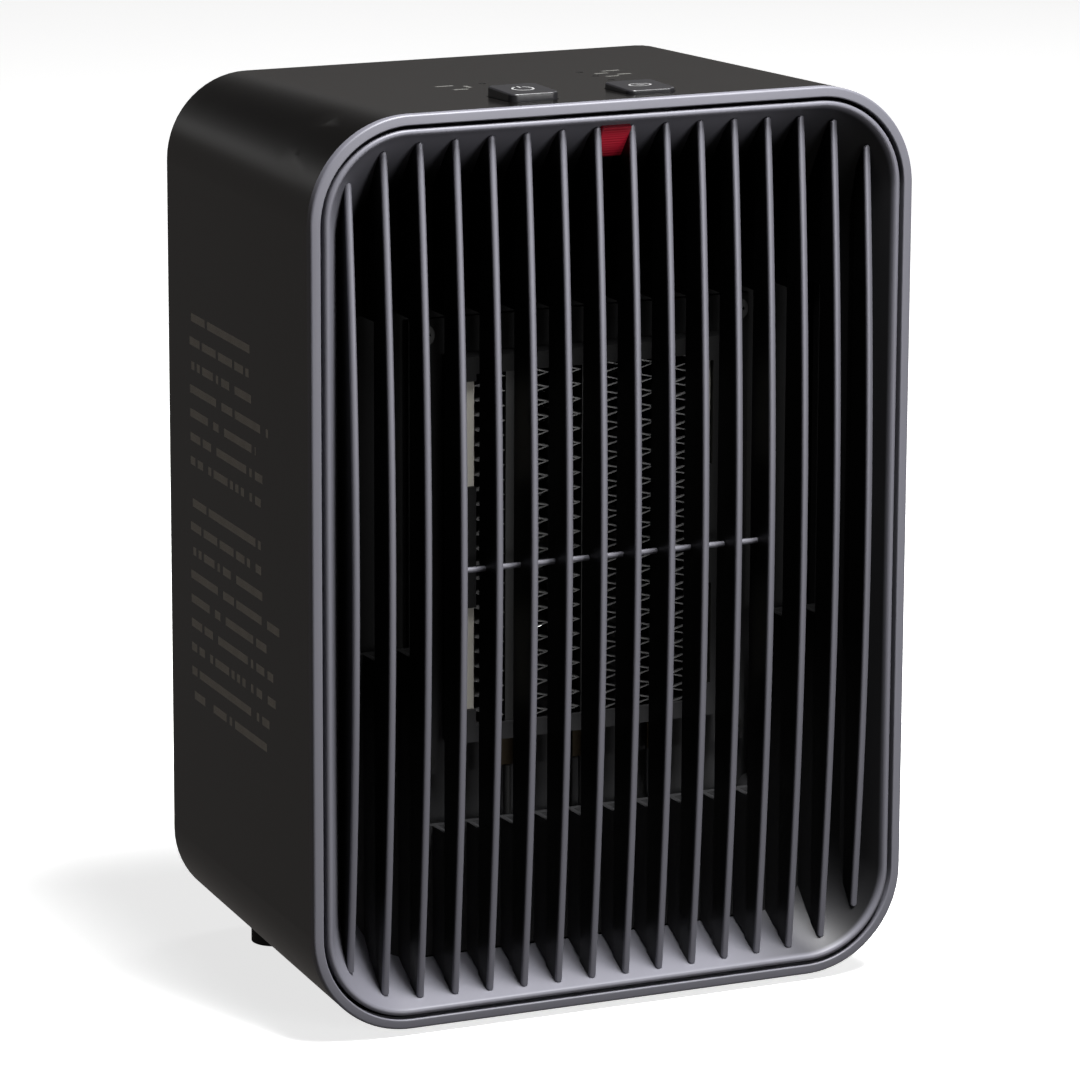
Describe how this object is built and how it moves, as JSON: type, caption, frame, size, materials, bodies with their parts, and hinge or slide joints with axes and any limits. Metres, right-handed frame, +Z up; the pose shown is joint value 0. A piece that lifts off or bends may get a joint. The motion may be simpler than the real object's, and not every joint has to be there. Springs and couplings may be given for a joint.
{
  "type": "ceramic fan heater",
  "caption": "Compact upright ceramic fan heater with a slatted front grille, two push buttons on top and an internal heating core, fan and motor.",
  "frame": {"origin": "floor under the middle of the whole heater", "axes": "+Z up, -Y out of the front grille, +X to the right seen from the front"},
  "size_m": [0.18, 0.1234, 0.2577],
  "materials": {
    "housing_black": "satin moulded",
    "graphite_grey": "satin moulded",
    "button_black": "satin moulded",
    "red_lens": "translucent",
    "lamp_glass": "clear",
    "clear_plastic": "clear",
    "led_body": "moulded",
    "black_resin": "heat resistant, moulded",
    "fan_plastic": "moulded",
    "foot_rubber": "matt",
    "screw_steel": "zinc plated",
    "fin_aluminium": "rolled",
    "tube_aluminium": "extruded",
    "bar_ceramic": "fired, insulating",
    "tab_brass": "stamped",
    "motor_steel": "laminated",
    "copper_wire": "lacquered copper",
    "bobbin_nylon": "moulded",
    "bush_bronze": "sintered",
    "ball_steel": "polished",
    "cutoff_phenolic": "moulded",
    "fuse_metal": "drawn",
    "board_green": "solder resist",
    "relay_blue": "moulded",
    "transformer_yellow": "taped",
    "capacitor_yellow": "moulded",
    "terminal_green": "moulded",
    "switch_black": "moulded",
    "lead_silicone": "sleeved"
  },
  "bodies": {
    "housing": {"shell": "housing_black", "rear_cover": "housing_black", "front_trim_ring": "graphite_grey", "front_grille": "graphite_grey", "indicator_lens": "red_lens", "indicator_lamp": "lamp_glass", "light_pipes": "clear_plastic", "board_leds": "led_body", "outlet_baffle": "black_resin", "heater_frame": "black_resin", "fan_duct": "black_resin", "cord_gland": "switch_black", "cord_gland_nut": "switch_black", "rubber_feet": "foot_rubber", "front_screws": "screw_steel", "rear_cover_screws": "screw_steel", "control_board_screws": "screw_steel", "power_board_screws": "screw_steel", "heater_screws": "screw_steel", "duct_screws": "screw_steel", "motor_screws": "screw_steel", "control_board": "board_green", "power_board": "board_green", "tact_switches": "switch_black", "fin_packs": "fin_aluminium", "ptc_tubes": "tube_aluminium", "side_bars": "bar_ceramic", "electrode_tabs": "tab_brass", "stator_core": "motor_steel", "coil_bobbin": "bobbin_nylon", "stator_coil": "copper_wire", "motor_bracket_front": "motor_steel", "motor_bracket_rear": "motor_steel", "bearings": "bush_bronze", "thermal_cutoff": "cutoff_phenolic", "cutoff_bracket": "screw_steel", "thermal_fuse": "fuse_metal", "relays": "relay_blue", "terminal_blocks": "terminal_green", "transformer": "transformer_yellow", "capacitor": "capacitor_yellow", "tilt_switch": "switch_black", "mains_leads": "lead_silicone", "heater_leads": "lead_silicone", "motor_leads": "lead_silicone", "board_cable": "lead_silicone"},
    "fan_rotor": {"fan_impeller": "fan_plastic", "impeller_clip": "screw_steel", "motor_shaft": "screw_steel", "rotor_core": "motor_steel"},
    "power_key": {"power_button": "button_black", "power_switch_plunger": "bobbin_nylon"},
    "mode_key": {"mode_button": "button_black", "mode_switch_plunger": "bobbin_nylon"},
    "tilt_weight": {"tilt_ball": "ball_steel"}
  },
  "joints": [
    {"name": "fan_spin", "type": "hinge", "parent": "housing", "child": "fan_rotor", "pos_m": [0, 0.01275, 0.131], "axis": [0, 1, 0], "continuous": true},
    {"name": "power_press", "type": "slide", "parent": "housing", "child": "power_key", "axis": [0, 0, -1], "range_m": [0, 0.0008], "stiffness_N_per_m": 600, "springref_m": -0.001},
    {"name": "mode_press", "type": "slide", "parent": "housing", "child": "mode_key", "axis": [0, 0, -1], "range_m": [0, 0.0008], "stiffness_N_per_m": 600, "springref_m": -0.001},
    {"name": "tilt_roll", "type": "slide", "parent": "housing", "child": "tilt_weight", "axis": [0, 0, 1], "range_m": [0, 0.004]}
  ]
}
